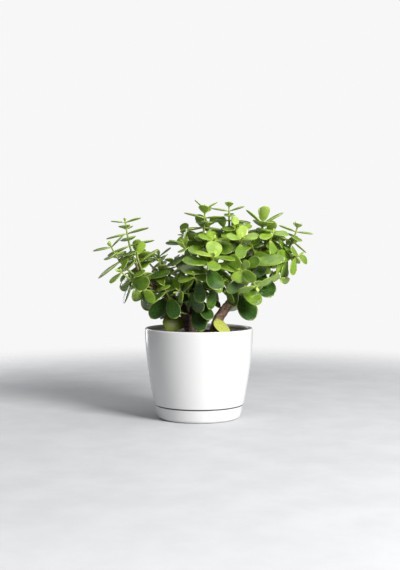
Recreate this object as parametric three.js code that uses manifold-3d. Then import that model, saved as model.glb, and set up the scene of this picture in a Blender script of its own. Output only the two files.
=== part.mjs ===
// Jade plant (Crassula ovata) in a round white plastic pot that stands in its own flush saucer.
//
// Frame: millimetres, +Z up, origin at the centre of the saucer's underside, -Y is the front.
// The pot and saucer are turned bodies, the soil fills the pot, and two stems fork below the soil. Each stem
// carries limbs, each limb carries leafy shoots, and each shoot is a twig with pairs of fleshy leaves that
// stand crosswise to the pair below. A leaf that would touch something turns or stays smaller, as it would
// when it grew. The nodes are the saucer, pot, soil, two stems, each shoot with its leaves and the large
// single leaves that grow from the old wood.
import * as THREE from "three";
import { mergeVertices } from "three/addons/utils/BufferGeometryUtils.js";
import Module from "manifold-3d";

const wasm = await Module();
wasm.setup();

// ---------------------------------------------------------------- driving dimensions, mm and degrees
const GAP = 0.3; // clearance between pieces that rest on or in each other
const TURNED_SIDES = 40; // facets round the pot, saucer and soil

const POT_HEIGHT = 150; // table to rim
const RIM_RADIUS = 90; // outside of the rim
const FOOT_RADIUS = 69.5; // where the outer wall line would meet the table
const WALL_BEND = 1.7; // above 1, the wall stays upright near the rim and turns in towards the foot
const POT_WALL = 2.6;
const POT_FLOOR = 3;
const LIP_WIDTH = 4.4; // the thickened rim
const LIP_DEPTH = 5; // rim to where the lip narrows to the wall
const DRAIN_HOLES = 5;
const DRAIN_RADIUS = 4;
const DRAIN_CIRCLE = 34;

const SAUCER_HEIGHT = 22;
const SAUCER_WALL = 2.4;
const SAUCER_FLOOR = 2.4;
const SAUCER_CORNER = 7; // rounding between the saucer's underside and its wall
const SEAM = 1.4; // the dark line between the saucer and the pot above it
const SEAM_INSET = 0.8; // the saucer's edge stands this far inside the pot's wall line
const RESERVOIR = 6; // height of the pot's floor above the saucer's floor

const SOIL_DEPTH = 10.5; // rim to soil surface, before the tilt and the mound
const SOIL_TILT = 4; // the soil is this much higher at the right wall than in the middle
const SOIL_MARGIN = 1; // the surface has drawn back this far from the wall
const MOUND = 3; // rise of the soil round the stems
const MOUND_SPREAD = 42;

const STEM_SIDES = 8;
const TWIG_SIDES = 4;
const TWIG_BASE_RADIUS = 2.6;
const TWIG_TIP_RADIUS = 1.3;
const FIRST_LEAF_PAIR = 0.3; // share of a twig's length below its lowest leaves
const NODE_SPREAD = 0.85; // below 1, the pairs of leaves stand closer together towards the twig's tip
const SIDEWAYS_FIRST = 0.7; // where a twig bends, it has gone this share of its way sideways
const UPWARDS_LATER = 0.32; // and this share of its way up

const LEAF_LENGTH = 47; // a full-grown leaf; each shoot states its share of this
const LEAF_THICKNESS = 0.11; // share of the leaf's length
const LEAF_WIDTH = 0.58;
const LEAF_SAG = 0.1; // how far the leaf's tip bends below its straight line
const LEAF_SIDES = 4;
const LEAF_RINGS = [0.3, 0.74]; // where along the leaf its two rings of corners lie
const FACE_BULGE = 0.75; // the upper face is flatter
const BACK_BULGE = 1.25; // than the underside
const NECK = 0.32; // share of a leaf's length that is its neck
const LEAF_CLEARANCE = 0.9; // free space kept between leaves of different shoots
const YOUNG_SIZES = [0.68, 0.88]; // sizes of the topmost pair of leaves and the pair below it
const TOP_NODE = 3; // the topmost leaves sit this far below the twig's end

// ---------------------------------------------------------------- small helpers
const RAD = Math.PI / 180;
const vec = (...xyz) => new THREE.Vector3(...xyz);
const lerp = THREE.MathUtils.lerp;
const clamp = THREE.MathUtils.clamp;

// A geometry as a manifold-3d solid.
function solid(geometry) {
  const bare = geometry.clone();
  for (const name of ["normal", "uv"]) bare.deleteAttribute(name);
  const merged = mergeVertices(bare, 1e-4);
  return new wasm.Manifold(
    new wasm.Mesh({
      numProp: 3,
      vertProperties: merged.attributes.position.array,
      triVerts: new Uint32Array(merged.index.array),
    }),
  );
}

// A manifold-3d solid as a geometry.
function geometryOf(manifold) {
  const mesh = manifold.getMesh();
  const geometry = new THREE.BufferGeometry();
  geometry.setAttribute("position", new THREE.BufferAttribute(mesh.vertProperties, 3));
  geometry.setIndex(new THREE.BufferAttribute(mesh.triVerts, 1));
  geometry.computeVertexNormals();
  return geometry;
}

// A body turned round the Z axis from a profile of [radius, height] pairs.
function turned(profile) {
  const points = profile.map(([radius, height]) => new THREE.Vector2(radius, height));
  return new THREE.LatheGeometry(points, TURNED_SIDES).rotateX(Math.PI / 2);
}

// ---------------------------------------------------------------- pot, saucer and soil
// Outer wall line shared by the pot and the saucer.
function wallRadius(height) {
  const share = clamp(1 - height / POT_HEIGHT, 0, 1);
  return RIM_RADIUS - (RIM_RADIUS - FOOT_RADIUS) * share ** WALL_BEND;
}

// Points up (or down) a wall line set in by `inset`, from one height to another.
function wallLine(from, to, inset, steps) {
  return Array.from({ length: steps + 1 }, (_, i) => {
    const height = lerp(from, to, i / steps);
    return [wallRadius(height) - inset, height];
  });
}

// A quarter round: `radius` is the rounding's own, and it turns from one angle to another in degrees.
function round(centreRadius, centreHeight, radius, from, to, steps) {
  return Array.from({ length: steps + 1 }, (_, i) => {
    const angle = lerp(from, to, i / steps) * RAD;
    return [centreRadius + radius * Math.cos(angle), centreHeight + radius * Math.sin(angle)];
  });
}

function saucerProfile() {
  const corner = wallRadius(SAUCER_CORNER) - SEAM_INSET - SAUCER_CORNER;
  const inner = SEAM_INSET + SAUCER_WALL;
  const innerCorner = SAUCER_CORNER - SAUCER_WALL;
  return [
    [0, 0],
    ...round(corner, SAUCER_CORNER, SAUCER_CORNER, -90, 0, 3),
    [wallRadius(SAUCER_HEIGHT) - SEAM_INSET, SAUCER_HEIGHT],
    ...wallLine(SAUCER_HEIGHT, SAUCER_CORNER, inner, 1),
    ...round(corner, SAUCER_FLOOR + innerCorner, innerCorner, 0, -90, 2).slice(1),
    [0, SAUCER_FLOOR],
  ];
}

// The pot's foot: the part of its wall that stands inside the saucer.
const FOOT_INSET = SEAM_INSET + SAUCER_WALL + GAP;
const FOOT_BOTTOM = SAUCER_FLOOR + GAP;
const FLOOR_BOTTOM = SAUCER_FLOOR + RESERVOIR;
const FLOOR_TOP = FLOOR_BOTTOM + POT_FLOOR;
const SHOULDER = SAUCER_HEIGHT + SEAM;
const LEDGE = SHOULDER + POT_WALL; // inside, the wall steps in at this height
const LIP_BOTTOM = POT_HEIGHT - LIP_DEPTH - (LIP_WIDTH - POT_WALL);

// Radius of the pot's inside between its floor and the ledge.
const footBore = (height) => wallRadius(height) - FOOT_INSET - POT_WALL;

function potProfile() {
  const footRadius = wallRadius(SAUCER_CORNER) - FOOT_INSET - 0.65 * SAUCER_CORNER;
  const lip = LIP_WIDTH / 2;
  const lipCentre = RIM_RADIUS - lip;
  return [
    [0, FLOOR_BOTTOM],
    [footRadius - POT_WALL, FLOOR_BOTTOM],
    [footRadius - POT_WALL, FOOT_BOTTOM],
    [footRadius, FOOT_BOTTOM],
    ...wallLine(SAUCER_CORNER, SAUCER_HEIGHT, FOOT_INSET, 1),
    [wallRadius(SHOULDER) - FOOT_INSET, SHOULDER],
    ...wallLine(SHOULDER, POT_HEIGHT - lip, 0, 5),
    ...round(lipCentre, POT_HEIGHT - lip, lip, 60, 180, 2),
    [RIM_RADIUS - LIP_WIDTH, POT_HEIGHT - LIP_DEPTH],
    ...wallLine(LIP_BOTTOM, LEDGE, POT_WALL, 3),
    [footBore(LEDGE), LEDGE],
    [footBore(FLOOR_TOP), FLOOR_TOP],
    [0, FLOOR_TOP],
  ];
}

function potSolid() {
  let pot = solid(turned(potProfile()));
  for (let i = 0; i < DRAIN_HOLES; i++) {
    const angle = (i / DRAIN_HOLES) * 2 * Math.PI;
    const hole = new THREE.CylinderGeometry(DRAIN_RADIUS, DRAIN_RADIUS, POT_FLOOR * 3, 10)
      .rotateX(Math.PI / 2)
      .translate(DRAIN_CIRCLE * Math.cos(angle), DRAIN_CIRCLE * Math.sin(angle), FLOOR_BOTTOM);
    pot = pot.subtract(solid(hole));
  }
  return pot;
}

const SOIL_LEVEL = POT_HEIGHT - SOIL_DEPTH;

function soilHeight(x, y) {
  const mound = MOUND * Math.exp(-(x * x + y * y) / MOUND_SPREAD ** 2);
  return SOIL_LEVEL + (SOIL_TILT * x) / RIM_RADIUS + mound;
}

function soilSolid() {
  const side = [
    [0, FLOOR_TOP + GAP],
    [footBore(FLOOR_TOP) - GAP, FLOOR_TOP + GAP],
    [footBore(LEDGE) - GAP, LEDGE + GAP],
    ...wallLine(LEDGE, LIP_BOTTOM, POT_WALL + GAP, 3).slice(0, 3),
  ];
  side[3][1] += GAP;
  const rings = [0.7, 0.35, 0];
  const edge = wallRadius(SOIL_LEVEL) - POT_WALL - SOIL_MARGIN;
  const top = rings.map((share) => [edge * share, SOIL_LEVEL]);
  const geometry = turned([...side, [edge, SOIL_LEVEL], ...top]);
  const position = geometry.attributes.position;
  for (let i = 0; i < position.count; i++) {
    const [x, y, z] = [position.getX(i), position.getY(i), position.getZ(i)];
    if (z > SOIL_LEVEL - 1) position.setZ(i, soilHeight(x, y));
  }
  return solid(geometry);
}

// ---------------------------------------------------------------- wood
// A round limb along a curve, tapering from one radius to another, closed at both ends and `extra` larger
// all over.
function limbGeometry(curve, radii, sides, steps, extra = 0) {
  const geometry = new THREE.CylinderGeometry(1, 1, 1, sides, steps);
  const frames = curve.computeFrenetFrames(steps, false);
  const position = geometry.attributes.position;
  for (let i = 0; i < position.count; i++) {
    const along = clamp(0.5 - position.getY(i), 0, 1);
    const step = Math.round(along * steps);
    const radius = lerp(radii[0], radii[1], along) + extra;
    const beyond = step === 0 ? -extra : step === steps ? extra : 0;
    const point = curve
      .getPointAt(along)
      .addScaledVector(frames.tangents[step], beyond)
      .addScaledVector(frames.normals[step], position.getX(i) * radius)
      .addScaledVector(frames.binormals[step], position.getZ(i) * radius);
    position.setXYZ(i, point.x, point.y, point.z);
  }
  return geometry;
}

// Limbs of the two stems. Heights are above the soil level; radii are at the two ends.
const LIMBS = {
  left_main: {
    stem: "left_stem",
    radii: [10.5, 3.6],
    path: [[-11, 6, -34], [-15, 4, 3], [-26, 0, 36], [-50, -4, 62], [-78, -6, 80], [-95, -8, 97]],
  },
  left_middle: {
    stem: "left_stem",
    radii: [6.5, 2.8],
    path: [[-17, 3, 12], [-8, 8, 48], [-2, 5, 85], [4, 1, 122], [5, 0, 148]],
  },
  left_rear: {
    stem: "left_stem",
    radii: [6, 2.8],
    path: [[-20, 2, 22], [-30, 32, 53], [-46, 60, 80], [-54, 78, 102]],
  },
  left_centre: {
    stem: "left_stem",
    radii: [5.6, 2.8],
    path: [[-12, 6, 28], [-4, -18, 56], [5, -36, 76], [12, -46, 96]],
  },
  right_main: {
    stem: "right_stem",
    radii: [11, 3.2],
    path: [[20, -2, -34], [25, -4, 1], [34, -7, 29], [54, -6, 55], [70, -2, 78], [98, 3, 104], [140, 3, 132]],
  },
  right_middle: {
    stem: "right_stem",
    radii: [5.8, 2.6],
    path: [[63, -4, 68], [66, 4, 102], [58, 6, 136], [51, 4, 164]],
  },
  right_rear: {
    stem: "right_stem",
    radii: [5.8, 2.8],
    path: [[57, -5, 60], [76, 30, 82], [90, 62, 106], [97, 80, 122]],
  },
  right_front: {
    stem: "right_stem",
    radii: [5.4, 2.8],
    path: [[58, -5, 62], [71, -31, 90], [80, -54, 121]],
  },
  right_upper: {
    stem: "right_stem",
    radii: [5, 2.6],
    path: [[96, 3, 102], [101, 0, 132], [102, -5, 160]],
  },
};
for (const limb of Object.values(LIMBS)) {
  const points = limb.path.map(([x, y, z]) => vec(x, y, z + SOIL_LEVEL));
  limb.curve = new THREE.CatmullRomCurve3(points);
  limb.steps = Math.round(limb.curve.getLength() / 16);
}

// All limbs of a stem as one solid, `extra` larger all over.
function stemSolid(name, extra = 0) {
  return Object.values(LIMBS)
    .filter((limb) => limb.stem === name)
    .map(({ curve, radii, steps }) => solid(limbGeometry(curve, radii, STEM_SIDES, steps, extra)))
    .reduce((whole, limb) => whole.add(limb));
}

// ---------------------------------------------------------------- leaves
// Half the leaf's width at a share of its length: narrow at the base, widest past the middle, blunt at the
// tip.
const WIDEST = 0.9 ** 0.9 * 0.45 ** 0.45 / 1.35 ** 1.35;
const bladeShape = (share) => (share ** 0.9 * (1 - share) ** 0.45) / WIDEST;
const LEAF_SHARES = [1, LEAF_RINGS[1], LEAF_RINGS[0], 0]; // tip, two rings, base

// A leaf as a solid: it leaves `base` along `direction` and its flatter upper face looks towards `face`.
function leafSolid({ base, direction, face, length, width }) {
  const along = direction.clone().normalize();
  const across = along.clone().cross(face).normalize();
  const up = across.clone().cross(along);
  const frame = new THREE.Matrix4().makeBasis(across, along, up).setPosition(base);
  const geometry = new THREE.SphereGeometry(1, LEAF_SIDES, LEAF_SHARES.length - 1);
  const position = geometry.attributes.position;
  for (let i = 0; i < position.count; i++) {
    const ring = Math.round((Math.acos(clamp(position.getY(i), -1, 1)) / Math.PI) * (LEAF_SHARES.length - 1));
    const share = LEAF_SHARES[ring];
    const shape = bladeShape(share);
    const around = Math.atan2(position.getZ(i), position.getX(i));
    const bulge = Math.sin(around) * (Math.sin(around) > 0 ? FACE_BULGE : BACK_BULGE);
    const x = 0.5 * length * width * shape * Math.cos(around);
    const z = 0.5 * length * LEAF_THICKNESS * Math.sqrt(shape) * bulge;
    position.setXYZ(i, x, share * length, z - LEAF_SAG * length * share ** 2);
  }
  return solid(geometry.applyMatrix4(frame));
}

// The part of a leaf beyond its neck.
function bladeSolid(leaf, whole) {
  const along = leaf.direction.clone().normalize();
  const start = leaf.base.clone().addScaledVector(along, leaf.length * NECK);
  return whole.trimByPlane(along.toArray(), along.dot(start));
}

// ---------------------------------------------------------------- room to grow
// Everything a new leaf has to stay clear of. Leaves of one shoot may meet at their necks and in its twig.
const obstacles = [];

function addObstacle(whole, owner, blade = null) {
  obstacles.push({ whole, owner, blade, box: whole.boundingBox() });
}

function boxesApart(a, b, distance) {
  return [0, 1, 2].some(
    (axis) => a.min[axis] > b.max[axis] + distance || b.min[axis] > a.max[axis] + distance,
  );
}

function isClear(whole, blade, owner, parent) {
  const box = whole.boundingBox();
  for (const obstacle of obstacles) {
    if (obstacle.owner === parent || boxesApart(box, obstacle.box, LEAF_CLEARANCE)) continue;
    if (obstacle.owner === owner) {
      if (obstacle.blade && blade.minGap(obstacle.blade, GAP) < GAP) return false;
    } else {
      const part = obstacle.owner in stems ? blade : whole;
      if (part.minGap(obstacle.whole, LEAF_CLEARANCE) < LEAF_CLEARANCE) return false;
    }
  }
  return true;
}

// Ways in which a crowded leaf gives way, the mildest first: [lift, swing] in degrees at each size.
const TURNS = [
  [0, 0], [9, 0], [-9, 0], [0, 14], [0, -14], [18, 0], [-18, 0], [12, 20], [-12, 20], [12, -20], [-12, -20],
  [28, 0], [-28, 0], [0, 32], [0, -32],
];
const SIZES = [1, 0.86, 0.72, 0.58, 0.45, 0.33];

// Grows a leaf of the piece `owner` where there is room for it and returns its solid. Only a leaf that is a
// piece of its own has a `parent`, the stem that it grows from.
function growLeaf(leaf, owner, parent) {
  const side = leaf.direction.clone().cross(leaf.face).normalize();
  const up = leaf.face.clone().normalize();
  for (const size of SIZES) {
    for (const [lift, swing] of TURNS) {
      const turn = new THREE.Quaternion().setFromAxisAngle(side, lift * RAD);
      turn.premultiply(new THREE.Quaternion().setFromAxisAngle(up, swing * RAD));
      const turnedLeaf = {
        ...leaf,
        direction: leaf.direction.clone().applyQuaternion(turn),
        face: leaf.face.clone().applyQuaternion(turn),
        length: leaf.length * size,
      };
      const whole = leafSolid(turnedLeaf);
      const blade = bladeSolid(turnedLeaf, whole);
      if (!isClear(whole, blade, owner, parent)) continue;
      addObstacle(whole, owner, blade);
      return whole;
    }
  }
  return null;
}

// ---------------------------------------------------------------- what grows where
// Positions are [x, y, height above the soil].
// Single leaves on old wood: the limb and the share of its length at which the leaf grows, where its tip is,
// the width as a share of the length, and the way the upper face looks.
const SINGLE_LEAVES = {
  leaf_over_soil_left: {
    limb: "left_main",
    at: 0.31,
    tip: [-58, -17, 21],
    width: 0.68,
    face: [-0.3, -1, 0.2],
  },
  leaf_over_soil_middle: {
    limb: "left_centre",
    at: 0.32,
    tip: [4, -48, 11],
    width: 0.5,
    face: [-0.2, -1, 0.4],
  },
  leaf_front_of_stem: {
    limb: "left_centre",
    at: 0.5,
    tip: [19, -58, 31],
    width: 0.46,
    face: [0.5, -1, 0.3],
  },
  leaf_yellow: {
    limb: "right_main",
    at: 0.29,
    tip: [40, -49, 9],
    width: 0.66,
    face: [0.47, -0.4, 0.88],
  },
  leaf_hanging_left: {
    limb: "left_main",
    at: 0.66,
    tip: [-79, -22, 29],
    width: 0.52,
    face: [-0.1, -1, 0.2],
  },
  leaf_under_left_limb: {
    limb: "left_main",
    at: 0.42,
    tip: [-34, -40, 44],
    width: 0.68,
    face: [-0.2, -1, 0.4],
  },
  leaf_big_right: {
    limb: "right_front",
    at: 0.95,
    tip: [137, -62, 130],
    width: 0.44,
    face: [0, -0.8, 0.8],
  },
  leaf_hanging_right: {
    limb: "right_main",
    at: 0.76,
    tip: [117, -32, 66],
    width: 0.58,
    face: [0.1, -1, 0.4],
  },
  leaf_low_right: {
    limb: "right_main",
    at: 0.55,
    tip: [87, -40, 29],
    width: 0.53,
    face: [0.1, -1, 0.2],
  },
  leaf_right_of_stem: {
    limb: "right_front",
    at: 0.4,
    tip: [98, -56, 55],
    width: 0.54,
    face: [0.2, -0.9, 0.8],
  },
  leaf_behind_stem: {
    limb: "right_main",
    at: 0.4,
    tip: [62, 40, 42],
    width: 0.58,
    face: [0, 0.8, 0.6],
  },
};

// Leafy shoots of each limb: the share of the limb's length at which it grows, where its tip is, the pairs of
// leaves, the leaves' length as a share of LEAF_LENGTH, the turn of the lowest pair round the twig, and how
// far the lowest and the topmost leaves stand out from the twig.
const SHOOTS = {
  left_main: {
    left_top: { at: 1, tip: [-122, -8, 188], pairs: 7, leaf: 0.84, turn: 0, open: [95, 72] },
    left_outer: { at: 0.89, tip: [-145, -22, 147], pairs: 5, leaf: 1, turn: 0, open: [100, 70] },
    left_upright: { at: 0.84, tip: [-102, -26, 134], pairs: 4, leaf: 0.86, turn: 0, open: [95, 35] },
    left_front: { at: 0.8, tip: [-127, -50, 106], pairs: 3, leaf: 0.9, turn: 60, open: [105, 70] },
    left_low: { at: 0.74, tip: [-92, -42, 76], pairs: 2, leaf: 0.95, turn: 50, open: [125, 100] },
    left_inner: { at: 0.7, tip: [-66, 14, 122], pairs: 3, leaf: 0.7, turn: 20, open: [90, 40] },
    left_back: { at: 0.94, tip: [-108, 36, 140], pairs: 4, leaf: 0.85, turn: 10, open: [95, 60] },
    left_back_low: { at: 0.78, tip: [-104, 38, 92], pairs: 4, leaf: 0.9, turn: 0, open: [105, 60] },
    left_under: { at: 0.5, tip: [-58, -36, 84], pairs: 4, leaf: 0.9, turn: 20, open: [105, 70] },
  },
  left_rear: {
    rear_left_top: { at: 1, tip: [-70, 90, 131], pairs: 3, leaf: 0.85, turn: 0, open: [98, 60] },
    rear_left_outer: { at: 0.86, tip: [-96, 86, 130], pairs: 4, leaf: 0.85, turn: 0, open: [98, 60] },
    rear_left_low: { at: 0.5, tip: [-58, 50, 62], pairs: 3, leaf: 0.95, turn: 30, open: [110, 80] },
    rear_left_inner: { at: 0.76, tip: [-22, 90, 126], pairs: 4, leaf: 0.85, turn: 10, open: [95, 60] },
  },
  left_middle: {
    crown_left: { at: 1, tip: [10, -4, 210], pairs: 6, leaf: 0.78, turn: 90, open: [95, 50] },
    crown_front: { at: 0.84, tip: [25, -38, 158], pairs: 4, leaf: 0.84, turn: 90, open: [98, 72] },
    crown_side: { at: 0.76, tip: [-28, -18, 154], pairs: 4, leaf: 0.8, turn: 90, open: [95, 45] },
    crown_low: { at: 0.52, tip: [-42, 16, 122], pairs: 5, leaf: 0.8, turn: 60, open: [100, 60] },
    crown_left_rear: { at: 0.68, tip: [-26, 44, 168], pairs: 4, leaf: 0.8, turn: 0, open: [95, 60] },
    crown_rear: { at: 0.92, tip: [18, 46, 184], pairs: 4, leaf: 0.8, turn: 40, open: [95, 60] },
    centre_rear: { at: 0.3, tip: [12, 38, 74], pairs: 4, leaf: 0.95, turn: 20, open: [112, 85] },
  },
  left_centre: {
    centre_front: { at: 1, tip: [24, -70, 132], pairs: 5, leaf: 1, turn: 0, open: [95, 80] },
    centre_left: { at: 0.84, tip: [-8, -66, 98], pairs: 3, leaf: 0.95, turn: 0, open: [115, 85] },
    centre_low: { at: 0.6, tip: [-34, -46, 74], pairs: 4, leaf: 0.95, turn: 30, open: [115, 75] },
    centre_right: { at: 0.7, tip: [36, -56, 92], pairs: 4, leaf: 0.9, turn: 0, open: [110, 90] },
  },
  right_middle: {
    top_round: { at: 1, tip: [50, 0, 214], pairs: 5, leaf: 0.68, turn: 90, open: [95, 58] },
    top_middle: { at: 0.86, tip: [62, -24, 180], pairs: 4, leaf: 0.74, turn: 20, open: [95, 45] },
    top_front: { at: 0.66, tip: [70, -44, 160], pairs: 4, leaf: 0.8, turn: 90, open: [98, 72] },
    top_rear: { at: 0.76, tip: [42, 44, 180], pairs: 4, leaf: 0.8, turn: 0, open: [95, 60] },
    top_low: { at: 0.5, tip: [34, 36, 128], pairs: 3, leaf: 0.85, turn: 30, open: [100, 60] },
  },
  right_upper: {
    right_top: { at: 1, tip: [106, -6, 189], pairs: 5, leaf: 0.94, turn: 90, open: [95, 20] },
    right_front: { at: 0.72, tip: [122, -36, 168], pairs: 3, leaf: 0.9, turn: 20, open: [105, 75] },
    right_rear: { at: 0.6, tip: [118, 40, 170], pairs: 4, leaf: 0.85, turn: 0, open: [95, 60] },
    right_inner: { at: 0.42, tip: [86, -30, 148], pairs: 3, leaf: 0.85, turn: 40, open: [98, 66] },
  },
  right_main: {
    outer_top: { at: 1, tip: [164, 0, 180], pairs: 5, leaf: 0.74, turn: 90, open: [98, 66] },
    outer_low: { at: 0.93, tip: [166, -20, 131], pairs: 5, leaf: 0.85, turn: 0, open: [105, 80] },
    outer_rear: { at: 0.86, tip: [150, 42, 150], pairs: 4, leaf: 0.8, turn: 30, open: [98, 60] },
    outer_under: { at: 0.79, tip: [134, -28, 92], pairs: 4, leaf: 0.8, turn: 45, open: [115, 80] },
  },
  right_front: {
    front_rosette: { at: 0.84, tip: [66, -81, 108], pairs: 3, leaf: 0.66, turn: 45, open: [90, 62] },
    front_low: { at: 0.62, tip: [92, -66, 80], pairs: 3, leaf: 0.95, turn: 20, open: [115, 90] },
    front_left: { at: 0.45, tip: [46, -52, 74], pairs: 3, leaf: 0.9, turn: 80, open: [115, 90] },
  },
  right_rear: {
    rear_right_top: { at: 1, tip: [104, 94, 168], pairs: 4, leaf: 0.85, turn: 0, open: [95, 60] },
    rear_right_outer: { at: 0.84, tip: [136, 84, 132], pairs: 4, leaf: 0.85, turn: 30, open: [98, 60] },
    rear_right_inner: { at: 0.7, tip: [60, 82, 132], pairs: 4, leaf: 0.85, turn: 0, open: [98, 60] },
    rear_right_low: { at: 0.5, tip: [122, 48, 84], pairs: 3, leaf: 0.9, turn: 90, open: [105, 70] },
  },
};

// ---------------------------------------------------------------- growing the plant
const atHeight = ([x, y, z]) => vec(x, y, z + SOIL_LEVEL);
const limbPoint = (limb, share) => LIMBS[limb].curve.getPointAt(share);

// A small repeatable unevenness from -1 to 1 for the `index`th thing.
function uneven(index) {
  const wave = Math.sin(index * 12.9898 + 4.1) * 43758.5453;
  return 2 * (wave - Math.floor(wave)) - 1;
}

// A twig leaves its limb sideways and turns up to its tip.
function twigCurve(limb, { at, tip }) {
  const start = limbPoint(limb, at);
  const end = atHeight(tip);
  const bend = vec(
    lerp(start.x, end.x, SIDEWAYS_FIRST),
    lerp(start.y, end.y, SIDEWAYS_FIRST),
    lerp(start.z, end.z, UPWARDS_LATER),
  );
  return new THREE.QuadraticBezierCurve3(start, bend, end);
}

function twigSolid(curve) {
  const steps = Math.max(3, Math.round(curve.getLength() / 18));
  return solid(limbGeometry(curve, [TWIG_BASE_RADIUS, TWIG_TIP_RADIUS], TWIG_SIDES, steps));
}

// The two leaves at one node of a twig.
function leafPair(shoot, curve, pair, number) {
  const last = 1 - TOP_NODE / curve.getLength();
  const rank = pair / (shoot.pairs - 1);
  const along = lerp(FIRST_LEAF_PAIR, last, rank ** NODE_SPREAD);
  const tangent = curve.getTangentAt(along);
  const right = vec(1, 0, 0).addScaledVector(tangent, -tangent.x).normalize();
  const turn = (shoot.turn + 90 * pair + 12 * uneven(number)) * RAD;
  const fromTop = shoot.pairs - 1 - pair;
  const size = (YOUNG_SIZES[fromTop] ?? 1) * (1 + 0.1 * uneven(number + 0.3));
  return [0, 180].map((opposite, i) => {
    const radial = right.clone().applyAxisAngle(tangent, turn + opposite * RAD);
    const open = (lerp(shoot.open[0], shoot.open[1], rank ** 1.5) + 6 * uneven(number + i + 0.7)) * RAD;
    return {
      base: curve.getPointAt(along),
      direction: radial.clone().multiplyScalar(Math.sin(open)).addScaledVector(tangent, Math.cos(open)),
      face: tangent.clone().multiplyScalar(Math.sin(open)).addScaledVector(radial, -Math.cos(open)),
      length: shoot.leaf * LEAF_LENGTH * size * (1 + 0.06 * uneven(number + i + 0.9)),
      width: LEAF_WIDTH * (1 + 0.1 * uneven(number + i + 0.2)),
    };
  });
}

const stems = { left_stem: stemSolid("left_stem"), right_stem: stemSolid("right_stem") };
const clearanceRoundStems = stemSolid("left_stem", GAP).add(stemSolid("right_stem", GAP));
const saucer = solid(turned(saucerProfile()));
const pot = potSolid();
const soil = soilSolid().subtract(clearanceRoundStems);
for (const [name, body] of Object.entries({ saucer, pot, soil, ...stems })) addObstacle(body, name);

const twigs = {};
for (const [limb, ownShoots] of Object.entries(SHOOTS)) {
  for (const [name, shoot] of Object.entries(ownShoots)) {
    const curve = twigCurve(limb, shoot);
    twigs[name] = { shoot, curve, body: twigSolid(curve) };
    addObstacle(twigs[name].body, name);
  }
}

const leaves = {};
for (const [name, { limb, at, tip, width, face }] of Object.entries(SINGLE_LEAVES)) {
  const base = limbPoint(limb, at);
  const direction = atHeight(tip).sub(base);
  const leaf = { base, direction, face: vec(...face), length: direction.length(), width };
  leaves[name] = growLeaf(leaf, name, LIMBS[limb].stem);
}

let leafNumber = 0;
const shoots = {};
for (const [name, { shoot, curve, body }] of Object.entries(twigs)) {
  const parts = [body];
  for (let pair = 0; pair < shoot.pairs; pair++) {
    for (const leaf of leafPair(shoot, curve, pair, leafNumber++)) {
      const grownLeaf = growLeaf(leaf, name);
      if (grownLeaf) parts.push(grownLeaf);
    }
  }
  shoots[name] = parts.reduce((whole, part) => whole.add(part));
}

// ---------------------------------------------------------------- the object
const PLASTIC = new THREE.MeshStandardMaterial({ color: 0xf2f2f0, roughness: 0.3, metalness: 0 });
const EARTH = new THREE.MeshStandardMaterial({ color: 0x3d2d22, roughness: 0.95, metalness: 0 });
const BARK = new THREE.MeshStandardMaterial({ color: 0x6b4a38, roughness: 0.85, metalness: 0 });
const LEAF = new THREE.MeshStandardMaterial({ color: 0x4e8a2a, roughness: 0.35, metalness: 0 });
const YELLOW_LEAF = new THREE.MeshStandardMaterial({ color: 0xb9bf3f, roughness: 0.4, metalness: 0 });

const plant = new THREE.Group();
function addNode(name, body, material) {
  const mesh = new THREE.Mesh(geometryOf(body), material);
  mesh.name = name;
  plant.add(mesh);
}

addNode("saucer", saucer, PLASTIC);
addNode("pot", pot, PLASTIC);
addNode("soil", soil, EARTH);
for (const [name, body] of Object.entries(stems)) addNode(name, body, BARK);
for (const [name, body] of Object.entries(leaves))
  addNode(name, body.subtract(clearanceRoundStems), name === "leaf_yellow" ? YELLOW_LEAF : LEAF);
for (const [name, body] of Object.entries(shoots))
  addNode(`shoot_${name}`, body.subtract(clearanceRoundStems), LEAF);

export default plant;
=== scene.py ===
"""Looks of the potted jade plant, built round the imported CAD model. Metres, +Z up, -Y is the front."""
import heapq
import math
import random

import bmesh
import bpy
from mathutils import Matrix, Vector, noise
from mathutils.bvhtree import BVHTree


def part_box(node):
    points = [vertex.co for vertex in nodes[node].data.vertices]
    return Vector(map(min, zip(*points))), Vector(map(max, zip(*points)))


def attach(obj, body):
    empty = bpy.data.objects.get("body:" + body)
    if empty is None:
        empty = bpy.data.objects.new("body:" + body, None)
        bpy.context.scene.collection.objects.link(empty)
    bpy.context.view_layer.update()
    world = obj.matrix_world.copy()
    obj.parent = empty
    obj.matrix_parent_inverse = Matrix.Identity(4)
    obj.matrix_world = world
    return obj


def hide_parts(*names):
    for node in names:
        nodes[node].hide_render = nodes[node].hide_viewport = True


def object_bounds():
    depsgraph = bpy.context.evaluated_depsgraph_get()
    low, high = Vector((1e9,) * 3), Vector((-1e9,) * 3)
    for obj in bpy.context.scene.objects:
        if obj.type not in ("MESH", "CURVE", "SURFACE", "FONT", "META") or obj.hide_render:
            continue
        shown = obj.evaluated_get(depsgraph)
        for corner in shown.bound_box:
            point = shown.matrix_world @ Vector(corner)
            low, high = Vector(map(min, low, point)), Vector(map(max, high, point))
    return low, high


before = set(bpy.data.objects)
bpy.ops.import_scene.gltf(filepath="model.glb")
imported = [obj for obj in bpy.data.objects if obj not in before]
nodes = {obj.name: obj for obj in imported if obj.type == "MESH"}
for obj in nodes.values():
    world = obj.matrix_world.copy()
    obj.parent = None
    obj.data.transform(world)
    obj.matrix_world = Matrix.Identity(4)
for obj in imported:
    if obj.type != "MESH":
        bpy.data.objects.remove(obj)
start_bounds = [list(corner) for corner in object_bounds()]
rng = random.Random(41)
MM = 0.001
HALF_SEAM = 0.7 * MM  # half of the dark line between the saucer and the pot
seam_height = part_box("saucer")[1][2] + HALF_SEAM
plant_top = start_bounds[1][2]
soil_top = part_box("soil")[1][2]

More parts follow.
